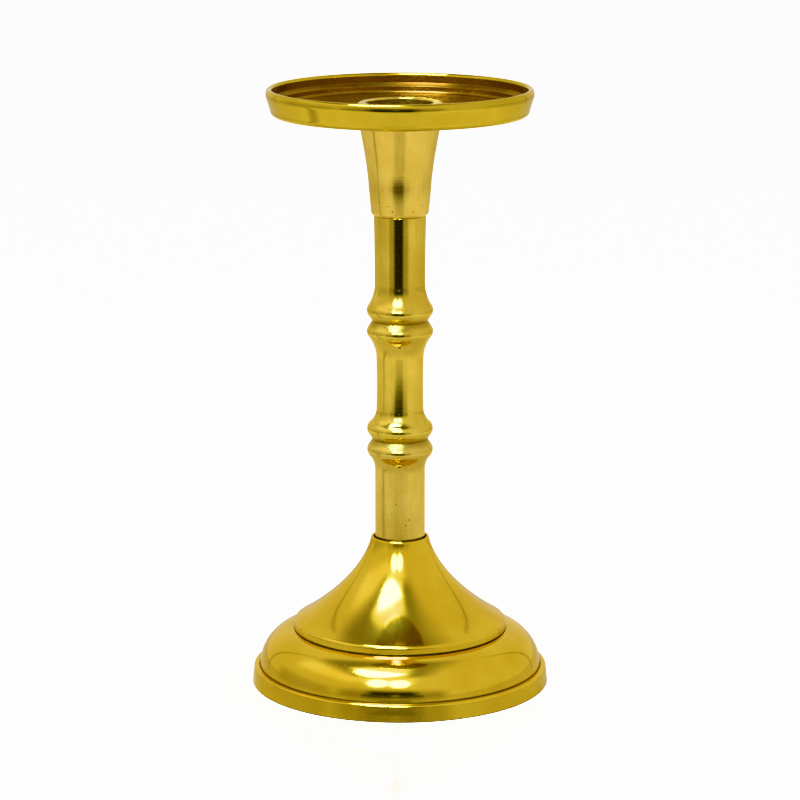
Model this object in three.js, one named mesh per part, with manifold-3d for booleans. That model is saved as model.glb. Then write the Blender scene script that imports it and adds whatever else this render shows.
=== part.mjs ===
// Pillar candlestick in polished brass: a dish round a taper socket, a beaded stem in three turned pieces and
// a hollow bell base, all clamped on one steel tie rod.
// Millimetres, +Z up, the axis of turning is Z and the foot stands on Z = 0.
import * as THREE from 'three';
import { mergeVertices } from 'three/addons/utils/BufferGeometryUtils.js';
import Module from 'manifold-3d';

// Fits
const FIT = 0.3; // radial clearance of every piece that slides into another

// Base: foot band, quarter-round dome, bell and collar
const FOOT_RADIUS = 50;
const FOOT_HEIGHT = 5.85;
const FOOT_DRAFT = 0.55; // lean of the band, table to top
const FOOT_EDGE = 0.9; // rounding of the band's upper edge
const LEDGE_WIDTH = 2.1; // flat between the band and the dome
const DOME_ROUND = 12.6;
const BELL_OVERHANG = 1; // the bell's band beyond the dome's crown
const BELL_UNDERCUT = 0.35; // opening of the crease under the band
const BELL_BAND = 1.5; // height of the upright band at the bell's edge
const BELL_EDGE_ROUND = 1.5;
const BELL_EDGE_SLOPE = 30.5; // degrees below the horizontal where the bell runs into its edge
const BELL_EDGE_REACH = 12.6; // how far that slope carries up the bell
const BELL_NECK_SLOPE = 77.5; // degrees below the horizontal at the collar
const BELL_NECK_REACH = 11.2; // how far that slope carries down the bell
const BASE_HEIGHT = 50.1;
const BASE_WALL = 3.4; // thickness of the cast shell
const COLLAR_WALL = 1.1; // lip of the collar round the stem
const COLLAR_DEPTH = 6.4; // how deep the stem sits in the collar
const WEB_THICKNESS = 7; // floor of the collar, which the tie rod clamps

// Stem: lower, middle and upper turned pieces, parted in the grooves between the beads
const LOWER_LENGTH = 39.8;
const MIDDLE_LENGTH = 40.1;
const UPPER_LENGTH = 35.3;
const SHAFT_RADIUS = 8.45; // lower and upper pieces
const WAIST_RADIUS = 7.95; // middle piece
const NECK_RADIUS = 8.75; // top of the upper piece, under the cup
const BEAD_RADIUS = 11.1;
const BEAD_ROUND = 2.9;
const GROOVE_RADIUS = 9.3;
const FLANK_SLOPE = 56; // degrees, from the groove up to the bead
const LOWER_FLARE = 7; // bead to plain shaft, here and below
const MIDDLE_FOOT_FLARE = 7.5;
const MIDDLE_TOP_FLARE = 9.6;
const UPPER_FLARE = 8.9;
const SPIGOT_RADIUS = 6; // register between the stacked pieces
const SPIGOT_LENGTH = 3;

// Cup: flared body, mouth lip spun over the dish, tapered candle socket
const CUP_HEIGHT = 33.2; // foot of the cup to the shoulder under the dish
const CUP_FOOT_RADIUS = 9.6;
const CUP_FOOT_ROUND = 1.2;
const CUP_LEAN = 5; // degrees off the vertical at the cup's foot
const CUP_FLARE = 10.5; // degrees off the vertical under the dish
const CUP_WALL = 1.7; // wall of the socket where it passes the dish
const SHOULDER_WIDTH = 1.35;
const MOUTH_WIDTH = 1.9; // overhang of the lip on the dish's floor
const MOUTH_HEIGHT = 2.1;
const MOUTH_ROUND = 1.6;
const SOCKET_RADIUS = 11; // a standard 22 mm taper candle
const SOCKET_FLOOR_RADIUS = 9.7;
const SOCKET_DEPTH = 20;
const CUP_WEB = 4.6; // metal under the nut

// Dish: flared pan with a rounded lip and a stepped inside, for a 76 mm pillar candle
const DISH_RADIUS = 43.8;
const DISH_HEIGHT = 8.8;
const DISH_FLARE = 1.45; // the lip beyond the foot of the wall
const DISH_CORNER = 1.7;
const DISH_FLOOR = 2.1;
const DISH_WALL = 1.7;
const LIP_ROUND = 1.05;
const LIP_TUCK = -14; // degrees, where the lip's round leaves the outer wall
const STEP_HEIGHT = 2.2; // lower edge of the step above the floor
const STEP_WIDTH = 1.1;
const FLOOR_ROUND = 1;

// Tie rod and its M6 hardware
const ROD_RADIUS = 3;
const ROD_CHAMFER = 0.6;
const ROD_TAIL = 2.5; // rod past each nut
const NUT_ACROSS_FLATS = 10;
const NUT_HEIGHT = 5;
const NUT_CHAMFER = 30; // degrees of the bevel on the nut's corners
const WASHER_RADIUS = 9;
const WASHER_THICKNESS = 1.6;
const LOCK_RADIUS = 5.9;
const LOCK_THICKNESS = 1.6;
const LOCK_SPLIT = 14; // degrees that the lock washer is open
const SPANNER_ROOM = 1.4; // round the nut in its pocket

// Facets
const TURN_SEGMENTS = 40;
const SMALL_SEGMENTS = 24;
const WELD = 1e-4; // vertices closer than this are one

// Sizes that follow from the ones above
const rodHole = ROD_RADIUS + FIT;
const spigotHole = SPIGOT_RADIUS + FIT;
const spigotRecess = SPIGOT_LENGTH + FIT;
const collarBore = SHAFT_RADIUS + FIT;
const webUnderside = BASE_HEIGHT - COLLAR_DEPTH - WEB_THICKNESS;
const mouthSpigot = SOCKET_RADIUS + CUP_WALL;
const dishHole = mouthSpigot + FIT;
const nutCorner = NUT_ACROSS_FLATS / 2 / Math.cos(Math.PI / 6);
const cupNutSeat = spigotRecess + CUP_WEB;

// Heights at which the stacked pieces sit
const lowerSeat = BASE_HEIGHT - COLLAR_DEPTH;
const middleSeat = lowerSeat + LOWER_LENGTH;
const upperSeat = middleSeat + MIDDLE_LENGTH;
const cupSeat = upperSeat + UPPER_LENGTH;
const dishSeat = cupSeat + CUP_HEIGHT;
const washerSeat = webUnderside - WASHER_THICKNESS;
const lockSeat = washerSeat - LOCK_THICKNESS;
const baseNutSeat = lockSeat - NUT_HEIGHT;
const rodFoot = baseNutSeat - ROD_TAIL;
const rodTop = cupSeat + cupNutSeat + NUT_HEIGHT + ROD_TAIL;

const wasm = await Module();
wasm.setup();

// Outlines: lists of (radius, height) points that run up the outside and down the inside
const at = (radius, height) => new THREE.Vector2(radius, height);
const heading = (degrees, length) => at(length, 0).rotateAround(at(0, 0), THREE.MathUtils.degToRad(degrees));

function arc(centre, radius, from, to, steps) {
  const [start, end] = [from, to].map(THREE.MathUtils.degToRad);
  return new THREE.EllipseCurve(centre.x, centre.y, radius, radius, start, end, to < from).getPoints(steps);
}

// A smooth run between two points, given the heading and reach of the curve at each end
function sweep(start, startHeading, startReach, end, endHeading, endReach) {
  const leave = start.clone().add(heading(startHeading, startReach));
  const arrive = end.clone().sub(heading(endHeading, endReach));
  return new THREE.CubicBezierCurve(start, leave, arrive, end);
}

function turned(outline, segments = TURN_SEGMENTS) {
  return new THREE.LatheGeometry([...outline, outline[0]], segments).rotateX(Math.PI / 2);
}

// Solids for boolean work, and back
function solidOf(geometry) {
  const bare = geometry.clone();
  bare.deleteAttribute('normal');
  bare.deleteAttribute('uv');
  const welded = mergeVertices(bare, WELD);
  const vertProperties = new Float32Array(welded.attributes.position.array);
  const triVerts = new Uint32Array(welded.index.array);
  return new wasm.Manifold(new wasm.Mesh({ numProp: 3, vertProperties, triVerts }));
}

function geometryOf(solid) {
  const { vertProperties, triVerts } = solid.getMesh();
  const geometry = new THREE.BufferGeometry();
  geometry.setAttribute('position', new THREE.BufferAttribute(vertProperties, 3));
  geometry.setIndex(new THREE.BufferAttribute(triVerts, 1));
  geometry.computeVertexNormals();
  return geometry;
}

// Base: one hollow casting, from the foot ring up the outside to the collar and down the inside
function baseShell() {
  const bandTop = FOOT_RADIUS - FOOT_DRAFT;
  const crown = bandTop - LEDGE_WIDTH - DOME_ROUND;
  const domeCentre = at(crown, FOOT_HEIGHT);
  const crownHeight = domeCentre.y + DOME_ROUND;
  const bellRadius = crown + BELL_OVERHANG;
  const bandFoot = crownHeight + BELL_UNDERCUT;
  const edgeCentre = at(bellRadius - BELL_EDGE_ROUND, bandFoot + BELL_BAND);
  const edge = arc(edgeCentre, BELL_EDGE_ROUND, 0, 90 - BELL_EDGE_SLOPE, 4);
  const lipRound = COLLAR_WALL / 2;
  const lipCentre = at(collarBore + lipRound, BASE_HEIGHT - lipRound);
  const lip = arc(lipCentre, lipRound, 90 - BELL_NECK_SLOPE, 180, 3);
  const [edgeHeading, neckHeading] = [180 - BELL_EDGE_SLOPE, 180 - BELL_NECK_SLOPE];
  const bell = sweep(edge.at(-1), edgeHeading, BELL_EDGE_REACH, lip[0], neckHeading, BELL_NECK_REACH);

  const steps = 10;
  const hollow = [];
  for (let i = steps; i >= 0; i -= 1) {
    const inward = bell.getTangent(i / steps).rotateAround(at(0, 0), Math.PI / 2);
    const point = bell.getPoint(i / steps).addScaledVector(inward, BASE_WALL);
    if (point.y < webUnderside) hollow.push(point);
  }

  return turned([
    at(crown + DOME_ROUND - BASE_WALL, 0),
    at(FOOT_RADIUS, 0),
    ...arc(at(bandTop - FOOT_EDGE, FOOT_HEIGHT - FOOT_EDGE), FOOT_EDGE, 0, 90, 3),
    ...arc(domeCentre, DOME_ROUND, 0, 90, 8),
    at(bellRadius, bandFoot),
    ...edge,
    ...bell.getPoints(steps).slice(1, -1),
    ...lip,
    at(collarBore, lowerSeat),
    at(rodHole, lowerSeat),
    at(rodHole, webUnderside),
    at(hollow[0].x, webUnderside),
    ...hollow,
    ...arc(domeCentre, DOME_ROUND - BASE_WALL, 90, 0, 4),
  ]);
}

// One end of a stem piece, from its joint over the bead to the plain shaft, as heights above the joint.
// A straight flank leaves the groove, runs into the round bead and out of it into a hollow flare.
function beadedEnd(shaftRadius, flare) {
  const flank = heading(FLANK_SLOPE, 1);
  const beadCentre = BEAD_RADIUS - BEAD_ROUND;
  const beadRise = (BEAD_ROUND - (GROOVE_RADIUS - beadCentre) * flank.y) / flank.x;
  const bead = at(beadCentre, beadRise);
  const step = shaftRadius - beadCentre;
  const flareRound = (step ** 2 + flare ** 2 - BEAD_ROUND ** 2) / (2 * (BEAD_ROUND - step));
  const hollow = at(shaftRadius + flareRound, beadRise + flare);
  const meet = THREE.MathUtils.radToDeg(hollow.clone().sub(bead).angle());
  return [
    at(GROOVE_RADIUS, 0),
    ...arc(bead, BEAD_ROUND, FLANK_SLOPE - 90, meet, 5),
    ...arc(hollow, flareRound, 180 + meet, 180, 5).slice(1),
  ];
}

const below = (points, joint) => points.map(({ x, y }) => at(x, joint - y)).reverse();
const recess = [at(rodHole, spigotRecess), at(spigotHole, spigotRecess), at(spigotHole, 0)];
const spigot = (end) => [
  at(SPIGOT_RADIUS, end),
  at(SPIGOT_RADIUS, end + SPIGOT_LENGTH),
  at(rodHole, end + SPIGOT_LENGTH),
];

function stemLower() {
  const bead = beadedEnd(SHAFT_RADIUS, LOWER_FLARE);
  return turned([at(rodHole, 0), at(SHAFT_RADIUS, 0), ...below(bead, LOWER_LENGTH), ...spigot(LOWER_LENGTH)]);
}

function stemMiddle() {
  const footBead = beadedEnd(WAIST_RADIUS, MIDDLE_FOOT_FLARE);
  const topBead = below(beadedEnd(WAIST_RADIUS, MIDDLE_TOP_FLARE), MIDDLE_LENGTH);
  return turned([...recess, ...footBead, ...topBead, ...spigot(MIDDLE_LENGTH)]);
}

function stemUpper() {
  const bead = beadedEnd(SHAFT_RADIUS, UPPER_FLARE);
  const shaftFoot = bead.at(-1);
  const control = at(SHAFT_RADIUS, (shaftFoot.y + UPPER_LENGTH) / 2);
  const shaft = new THREE.QuadraticBezierCurve(shaftFoot, control, at(NECK_RADIUS, UPPER_LENGTH));
  return turned([...recess, ...bead, ...shaft.getPoints(5).slice(1), ...spigot(UPPER_LENGTH)]);
}

// Cup: its spigot passes up through the dish, and the mouth lip is spun over on the dish's floor
function candleCup() {
  const shoulder = at(mouthSpigot + SHOULDER_WIDTH, CUP_HEIGHT);
  const footRound = arc(at(CUP_FOOT_RADIUS - CUP_FOOT_ROUND, CUP_FOOT_ROUND), CUP_FOOT_ROUND, -90, 0, 3);
  const reach = (CUP_HEIGHT - CUP_FOOT_ROUND) / 3;
  const flare = sweep(footRound.at(-1), 90 - CUP_LEAN, reach, shoulder, 90 - CUP_FLARE, reach);
  const lipFoot = CUP_HEIGHT + DISH_FLOOR;
  const lipTop = lipFoot + MOUTH_HEIGHT;
  const lipRound = Math.min(MOUTH_ROUND, MOUTH_HEIGHT);
  const lipRadius = mouthSpigot + MOUTH_WIDTH;
  const socketFloor = lipTop - SOCKET_DEPTH;
  const pocket = nutCorner + SPANNER_ROOM;
  return turned([
    ...recess,
    ...footRound,
    ...flare.getPoints(6).slice(1),
    at(mouthSpigot, CUP_HEIGHT),
    at(mouthSpigot, lipFoot),
    at(lipRadius, lipFoot),
    ...arc(at(lipRadius - lipRound, lipTop - lipRound), lipRound, 0, 90, 3),
    ...arc(at(SOCKET_RADIUS + lipRound, lipTop - lipRound), lipRound, 90, 180, 3),
    at(SOCKET_FLOOR_RADIUS, socketFloor),
    at(pocket, socketFloor),
    at(pocket, cupNutSeat),
    at(rodHole, cupNutSeat),
  ]);
}

function dish() {
  const lipCentre = at(DISH_RADIUS - LIP_ROUND, DISH_HEIGHT - LIP_ROUND);
  const lip = arc(lipCentre, LIP_ROUND, LIP_TUCK, 180, 8);
  const footRadius = DISH_RADIUS - DISH_FLARE;
  const corner = arc(at(footRadius - DISH_CORNER, DISH_CORNER), DISH_CORNER, -90, 0, 4);
  const wallLean = (lip[0].x - footRadius) / (lip[0].y - DISH_CORNER);
  const inside = (height) => footRadius + wallLean * (height - DISH_CORNER) - DISH_WALL;
  const stepFoot = DISH_FLOOR + STEP_HEIGHT;
  const floorWall = inside(stepFoot) - STEP_WIDTH;
  return turned([
    at(dishHole, 0),
    ...corner,
    ...lip,
    at(inside(stepFoot + STEP_WIDTH), stepFoot + STEP_WIDTH),
    at(floorWall, stepFoot),
    ...arc(at(floorWall - FLOOR_ROUND, DISH_FLOOR + FLOOR_ROUND), FLOOR_ROUND, 0, -90, 3),
    at(dishHole, DISH_FLOOR),
  ]);
}

// Tie rod and hardware
function tieRod() {
  const length = rodTop - rodFoot;
  return turned([
    at(0, 0),
    at(ROD_RADIUS - ROD_CHAMFER, 0),
    at(ROD_RADIUS, ROD_CHAMFER),
    at(ROD_RADIUS, length - ROD_CHAMFER),
    at(ROD_RADIUS - ROD_CHAMFER, length),
    at(0, length),
  ], SMALL_SEGMENTS);
}

const washer = (radius, thickness) =>
  turned([at(rodHole, 0), at(radius, 0), at(radius, thickness), at(rodHole, thickness)], SMALL_SEGMENTS);

// Hexagon nut: the prism's corners are bevelled by a cone at each face, and the rod's hole is cut through
function hexNut() {
  const hexagon = new THREE.Shape();
  hexagon.setFromPoints(Array.from({ length: 6 }, (_, i) => heading(60 * i, nutCorner)));
  const prism = new THREE.ExtrudeGeometry(hexagon, { depth: NUT_HEIGHT, bevelEnabled: false });
  const flat = NUT_ACROSS_FLATS / 2;
  const bevel = (nutCorner - flat) * Math.tan(THREE.MathUtils.degToRad(NUT_CHAMFER));
  const bevelled = turned([
    at(0, 0),
    at(flat, 0),
    at(nutCorner, bevel),
    at(nutCorner, NUT_HEIGHT - bevel),
    at(flat, NUT_HEIGHT),
    at(0, NUT_HEIGHT),
  ], SMALL_SEGMENTS);
  const hole = turned([
    at(0, -FIT),
    at(rodHole, -FIT),
    at(rodHole, NUT_HEIGHT + FIT),
    at(0, NUT_HEIGHT + FIT),
  ], SMALL_SEGMENTS);
  return geometryOf(solidOf(prism).intersect(solidOf(bevelled)).subtract(solidOf(hole)));
}

function lockWasher() {
  const [start, end] = [LOCK_SPLIT / 2, 360 - LOCK_SPLIT / 2];
  const rim = arc(at(0, 0), LOCK_RADIUS, start, end, SMALL_SEGMENTS);
  const bore = arc(at(0, 0), rodHole, end, start, SMALL_SEGMENTS);
  const ring = new THREE.Shape([...rim, ...bore]);
  return new THREE.ExtrudeGeometry(ring, { depth: LOCK_THICKNESS, bevelEnabled: false });
}

// Materials
const polishedBrass = new THREE.MeshStandardMaterial({ color: 0xd9a93c, roughness: 0.12, metalness: 1 });
const satinBrass = new THREE.MeshStandardMaterial({ color: 0xd2a540, roughness: 0.28, metalness: 1 });
const zincSteel = new THREE.MeshStandardMaterial({ color: 0xb9bdc0, roughness: 0.4, metalness: 1 });

const candlestick = new THREE.Group();

function place(name, geometry, material, height) {
  const mesh = new THREE.Mesh(geometry, material);
  mesh.name = name;
  mesh.position.z = height;
  candlestick.add(mesh);
}

place('base_shell', baseShell(), polishedBrass, 0);
place('stem_lower', stemLower(), satinBrass, lowerSeat);
place('stem_middle', stemMiddle(), satinBrass, middleSeat);
place('stem_upper', stemUpper(), satinBrass, upperSeat);
place('candle_cup', candleCup(), satinBrass, cupSeat);
place('dish', dish(), polishedBrass, dishSeat);
place('tie_rod', tieRod(), zincSteel, rodFoot);
place('cup_nut', hexNut(), zincSteel, cupSeat + cupNutSeat);
place('base_washer', washer(WASHER_RADIUS, WASHER_THICKNESS), zincSteel, washerSeat);
place('lock_washer', lockWasher(), zincSteel, lockSeat);
place('base_nut', hexNut(), zincSteel, baseNutSeat);

export default candlestick;
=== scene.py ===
"""Pillar candlestick in polished brass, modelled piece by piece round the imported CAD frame."""

import math
from functools import partial

import bpy
from bpy.props import FloatProperty, FloatVectorProperty, IntProperty, PointerProperty
from bpy.types import Operator, Panel, PropertyGroup
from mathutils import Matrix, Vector


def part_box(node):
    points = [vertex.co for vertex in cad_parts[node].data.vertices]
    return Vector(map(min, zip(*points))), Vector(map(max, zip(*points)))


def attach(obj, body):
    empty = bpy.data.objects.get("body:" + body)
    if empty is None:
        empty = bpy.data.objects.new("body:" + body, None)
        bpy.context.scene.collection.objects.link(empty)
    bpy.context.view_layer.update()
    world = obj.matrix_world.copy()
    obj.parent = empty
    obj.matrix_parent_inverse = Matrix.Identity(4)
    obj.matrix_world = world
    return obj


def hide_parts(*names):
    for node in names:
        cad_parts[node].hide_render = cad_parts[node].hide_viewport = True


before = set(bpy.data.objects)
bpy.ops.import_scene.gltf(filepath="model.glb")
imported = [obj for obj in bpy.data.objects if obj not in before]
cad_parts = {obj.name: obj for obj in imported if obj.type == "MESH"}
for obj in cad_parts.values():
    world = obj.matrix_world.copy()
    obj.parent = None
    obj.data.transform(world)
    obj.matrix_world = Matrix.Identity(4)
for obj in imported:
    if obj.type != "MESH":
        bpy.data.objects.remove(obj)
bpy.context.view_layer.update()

bl_info = {
    "name": "Brass Pillar Candlestick",
    "version": (1, 0, 0),
    "blender": (4, 5, 0),
    "location": "View3D > Sidebar > Candlestick",
    "description": "Turned brass candlestick with a dish, a beaded stem and a bell base",
    "category": "Add Mesh",
}

BODY = "root"
MM = 0.001
AXIS, CENTRE = (0, 0, 1), (0, 0, 0)
RIGHT, UP, LEFT, DOWN = 0, math.pi / 2, math.pi, -math.pi / 2  # headings in an outline's plane
FLATS_TO_CORNERS = math.cos(math.pi / 6)  # of a hexagon
WELD = 1e-6  # metres, vertices closer than this are one
SHARP_CORNER = math.radians(35)
EASE_STEPS = 4
EASE_SHARE = 0.4  # of an edge, the most that the round at its end takes
HOLD = 0.12 * MM  # from an edge to the point that keeps the flat beside it flat
LONG_RUN = 8 * HOLD
NUT_PLAY = 0.05 * MM
COUNTERSINK = 0.2 * MM
OVERCUT = 0.1 * MM  # of a drill beyond the face
CONE_FACETS, DRILL_FACETS, WASHER_FACETS = 64, 48, 72
FACES_UP, FACES_DOWN, OVERHANGS = 0.5, -0.7, -0.3  # height of a face's normal


def foot_of(node):
    """Height of a CAD node's lowest point."""
    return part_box(node)[0].z


def top_of(node):
    """Height of a CAD node's highest point."""
    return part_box(node)[1].z


def reach_of(node):
    """Largest radius of a CAD node."""
    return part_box(node)[1].x


def linear(hex_colour):
    """An sRGB hex colour as the linear RGB that shaders take."""
    channels = [int(hex_colour[i : i + 2], 16) / 255 for i in (1, 3, 5)]
    return [c / 12.92 if c <= 0.04045 else ((c + 0.055) / 1.055) ** 2.4 for c in channels]


# Properties


def mm(name, description, millimetres):
    """A length, given in millimetres."""
    return FloatProperty(
        name=name,
        description=description,
        default=millimetres * MM,
        min=0,
        precision=5,
        subtype="DISTANCE",
        unit="LENGTH",
    )


def angle(name, description, degrees):
    return FloatProperty(
        name=name,
        description=description,
        default=math.radians(degrees),
        subtype="ANGLE",
        unit="ROTATION",
    )


def colour(name, description, hex_colour):
    return FloatVectorProperty(
        name=name,
        description=description,
        default=linear(hex_colour),
        min=0,
        max=1,
        size=3,
        subtype="COLOR",
    )


def number(name, description, value):
    return FloatProperty(name=name, description=description, default=value, min=0)


def count(name, description, value):
    return IntProperty(name=name, description=description, default=value, min=3)


class BaseSizes(PropertyGroup):
    """Foot band, dome, bell and collar of the base."""

    foot_radius: mm("Foot radius", "Outer radius at the table", reach_of("base_shell") / MM)
    foot_height: mm("Foot height", "Height of the foot band", 5.85)
    foot_draft: mm("Foot draft", "Lean of the foot band", 0.55)
    foot_edge: mm("Foot edge", "Rounding of the band's upper edge", 0.9)
    ledge_width: mm("Ledge width", "Flat between the band and the dome", 2.1)
    dome_round: mm("Dome round", "Radius of the quarter-round dome", 12.6)
    bell_overhang: mm("Bell overhang", "Bell's band beyond the dome's crown", 1)
    bell_undercut: mm("Bell undercut", "Opening of the crease under the band", 0.35)
    bell_band: mm("Bell band", "Upright band at the bell's edge", 1.5)
    bell_edge_round: mm("Bell edge round", "Rounding above the band", 1.5)
    bell_edge_slope: angle("Bell edge slope", "Slope where the bell runs into its edge", 30.5)
    bell_edge_reach: mm("Bell edge reach", "How far that slope carries up the bell", 12.6)
    bell_neck_slope: angle("Bell neck slope", "Slope at the collar", 77.5)
    bell_neck_reach: mm("Bell neck reach", "How far that slope carries down the bell", 11.2)
    height: mm("Height", "Top of the collar", top_of("base_shell") / MM)
    wall: mm("Wall", "Thickness of the cast shell", 3.4)
    collar_wall: mm("Collar wall", "Lip of the collar round the stem", 1.1)
    collar_bore: mm("Collar bore", "Radius of the hole for the stem", 8.75)


class StemSizes(PropertyGroup):
    """The three turned pieces of the stem."""

    shaft_radius: mm("Shaft radius", "Lower and upper pieces", 8.45)
    waist_radius: mm("Waist radius", "Middle piece", 7.95)
    neck_radius: mm("Neck radius", "Top of the upper piece, under the cup", 8.75)
    bead_radius: mm("Bead radius", "Largest radius of the beads", reach_of("stem_middle") / MM)
    bead_round: mm("Bead round", "Rounding of the beads", 2.9)
    groove_radius: mm("Groove radius", "Bottom of the groove between two beads", 9.3)
    flank_slope: angle("Flank slope", "From the groove up to the bead", 56)
    lower_flare: mm("Lower flare", "Bead to plain shaft, lower piece", 7)
    middle_foot_flare: mm("Middle foot flare", "Bead to waist, foot of the middle piece", 6.9)
    middle_top_flare: mm("Middle top flare", "Bead to waist, top of the middle piece", 9.1)
    upper_flare: mm("Upper flare", "Bead to plain shaft, upper piece", 8.9)
    waist_hollow: angle("Waist hollow", "Lean of the waist at its ends", 2)
    spigot_radius: mm("Spigot radius", "Register between the stacked pieces", 6)
    spigot_length: mm("Spigot length", "Register between the stacked pieces", 3)


class CupSizes(PropertyGroup):
    """Flared cup, its mouth lip and the candle socket."""

    foot_radius: mm("Foot radius", "Foot of the cup", 9.6)
    foot_round: mm("Foot round", "Rounding of the foot's edge", 1.2)
    lean: angle("Lean", "Off the vertical at the cup's foot", 6.3)
    waist_lean: angle("Waist lean", "Off the vertical where the cup is steepest", 4.1)
    waist_rise: mm("Waist rise", "Height of that place above the foot", 10.2)
    waist_radius: mm("Waist radius", "Radius at that place", 10.45)
    flare: angle("Flare", "Off the vertical under the dish", 10)
    wall: mm("Wall", "Wall of the socket where it passes the dish", 1.7)
    shoulder_width: mm("Shoulder width", "Ledge that carries the dish", 1.35)
    mouth_width: mm("Mouth width", "Overhang of the lip on the dish's floor", 1.9)
    mouth_height: mm("Mouth height", "Height of the lip above the dish's floor", 2.1)
    mouth_round: mm("Mouth round", "Outer rounding of the lip", 1.6)
    mouth_ease: mm("Mouth ease", "Rounding of the lip into the socket", 0.5)
    socket_radius: mm("Socket radius", "Mouth of the taper candle socket", 11)
    socket_floor_radius: mm("Socket floor radius", "Floor of the socket", 9.7)
    socket_depth: mm("Socket depth", "Depth of the socket", 20)
    nut_room: mm("Nut room", "Clearance round the nut in its pocket", 1.4)


class DishSizes(PropertyGroup):
    """Flared pan with a rounded lip and a stepped inside."""

    radius: mm("Radius", "Outer radius of the lip", reach_of("dish") / MM + 0.3)
    flare: mm("Flare", "Lip beyond the foot of the wall", 1.45)
    corner: mm("Corner", "Rounding between wall and underside", 1.7)
    floor: mm("Floor", "Thickness of the floor", 2.1)
    wall: mm("Wall", "Thickness of the wall", 1.7)
    lip_round: mm("Lip round", "Radius of the rounded lip", 1.05)
    lip_roll: mm("Lip roll", "Radius of the outer edge below the lip", 3.5)
    lip_turn: angle("Lip turn", "Where the outer edge runs into the lip's round", 20)
    lip_tuck: angle("Lip tuck", "Where the outer edge leaves the wall", -14)
    step_height: mm("Step height", "Lower edge of the step above the floor", 2.2)
    step_width: mm("Step width", "Width of the step", 1.1)
    floor_round: mm("Floor round", "Rounding at the edge of the floor", 1)
    hole_radius: mm("Hole radius", "Hole for the cup's spigot", 13)
    # Within this radius the underside gets the dark, rough cast brass, and so is darker
    dark_underside_radius: mm("Rough radius", "Underside left rough within this radius", 31)


class HardwareSizes(PropertyGroup):
    """Tie rod, nuts and washers."""

    rod_radius: mm("Rod radius", "Outside of the M6 thread", reach_of("tie_rod") / MM)
    rod_hole: mm("Rod hole", "Clearance hole round the rod", 3.3)
    thread_pitch: mm("Thread pitch", "M6 coarse thread", 1)
    thread_depth: mm("Thread depth", "M6 coarse thread", 0.6)
    thread_facets: count("Thread facets", "Segments in each turn of the thread", 24)
    rod_chamfer: mm("Rod chamfer", "Bevel at the rod's ends", 0.6)
    nut_flats: mm("Nut across flats", "M6 hexagon nut", 10)
    nut_turn: angle("Nut turn", "Where the flats face", 30)
    nut_chamfer: angle("Nut chamfer", "Bevel on the nut's corners", 30)
    washer_edge: mm("Washer edge", "Rounded edge of the punched washers", 0.25)
    lock_split: angle("Lock washer split", "Opening of the split washer", 14)


class BrassFinish(PropertyGroup):
    """Colours of the metals."""

    polished: colour("Polished brass", "Mirror-polished and lacquered outside", "#e1be44")
    polished_deep: colour("Polished brass, deep", "Where the polish is thinner", "#d2ac34")
    satin: colour("Satin brass", "Fine-turned lower stem and cup", "#e3c660")
    satin_deep: colour("Satin brass, deep", "Where the turning is duller", "#cfae4c")
    buffed: colour("Buffed brass", "Buffed middle and upper stem", "#e2c556")
    buffed_deep: colour("Buffed brass, deep", "Where the buffing is duller", "#ceac44")
    spun: colour("Spun brass", "Buffed outside of the dish", "#ccae3e")
    spun_deep: colour("Spun brass, deep", "Where its lacquer is thinner", "#bfa02f")
    glancing: colour("Glancing tint", "Tint of reflections at a glancing angle", "#fff2c8")
    dulled: colour("Dulled brass", "Spun inside of the dish", "#9c752e")
    dulled_deep: colour("Dulled brass, deep", "Browner patches inside the dish", "#805a22")
    cast: colour("Cast brass", "Rough inside of the casting", "#7c5e2a")
    # Also the colour of the shade painted along creases, grooves and the foot's bottom edge
    tarnish_and_shade: colour("Tarnish", "Dark polish residue in creases and pits", "#3a2406")
    zinc: colour("Zinc plate", "Plated steel hardware", "#c9cdd0")
    zinc_dull: colour("Zinc plate, dull", "Blotches in the plating", "#9aa0a4")


class StageSetting(PropertyGroup):
    """Camera and light."""

    lens: number("Lens", "Focal length in millimetres on a 36 mm sensor", 149.5)
    camera_distance: mm("Camera distance", "In front of the axis", 1081.2)
    camera_height: mm("Camera height", "Above the table", 334)
    camera_pitch: angle("Camera pitch", "Below the horizontal", 12.388)
    wall_light: number("Wall light", "Brightness of the white surround", 0.9)
    backdrop_light: number("Backdrop light", "Brightness behind the object", 9)
    floor_glow: number("Floor glow", "Light through the translucent floor", 0.08)
    floor_pool: number("Floor pool", "Lamplight on the floor round the foot", 0.44)
    foot_glow: number("Foot glow", "Light into the hollow of the base", 2.5)
    floor_front: mm("Floor front", "Where the floor ends in front of the axis", 462)
    daylight: colour("Daylight", "Tint of the lamps", "#b7e0ff")
    seam_width: mm("Seam width", "Poles in the tent's corners", 30)
    seam_light: number("Seam light", "Brightness of the poles", 0.5)


class CandlestickSettings(PropertyGroup):
    """Everything that a user would change."""

    base: PointerProperty(type=BaseSizes)
    stem: PointerProperty(type=StemSizes)
    cup: PointerProperty(type=CupSizes)
    dish: PointerProperty(type=DishSizes)
    hardware: PointerProperty(type=HardwareSizes)
    finish: PointerProperty(type=BrassFinish)
    stage: PointerProperty(type=StageSetting)
    facets: count("Facets", "Segments round each turned piece", 192)
    ease: mm("Ease", "Round that breaks every turned corner", 0.15)


# Outlines: lists of points in the XZ plane that run up the outside and down the inside


def at(radius, height):
    return Vector((radius, 0, height))


def heading(radians, distance):
    return at(math.cos(radians), math.sin(radians)) * distance


def arc(centre, radius, start, end, steps):
    """Points on an arc in the outline's plane, from one angle to another."""
    return [centre + heading(start + (end - start) * i / steps, radius) for i in range(steps + 1)]


def rounded(corner, radius, start, end, steps):
    """The quarter round that takes the place of a square corner."""
    return arc(corner - heading(start, radius) - heading(end, radius), radius, start, end, steps)


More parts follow.
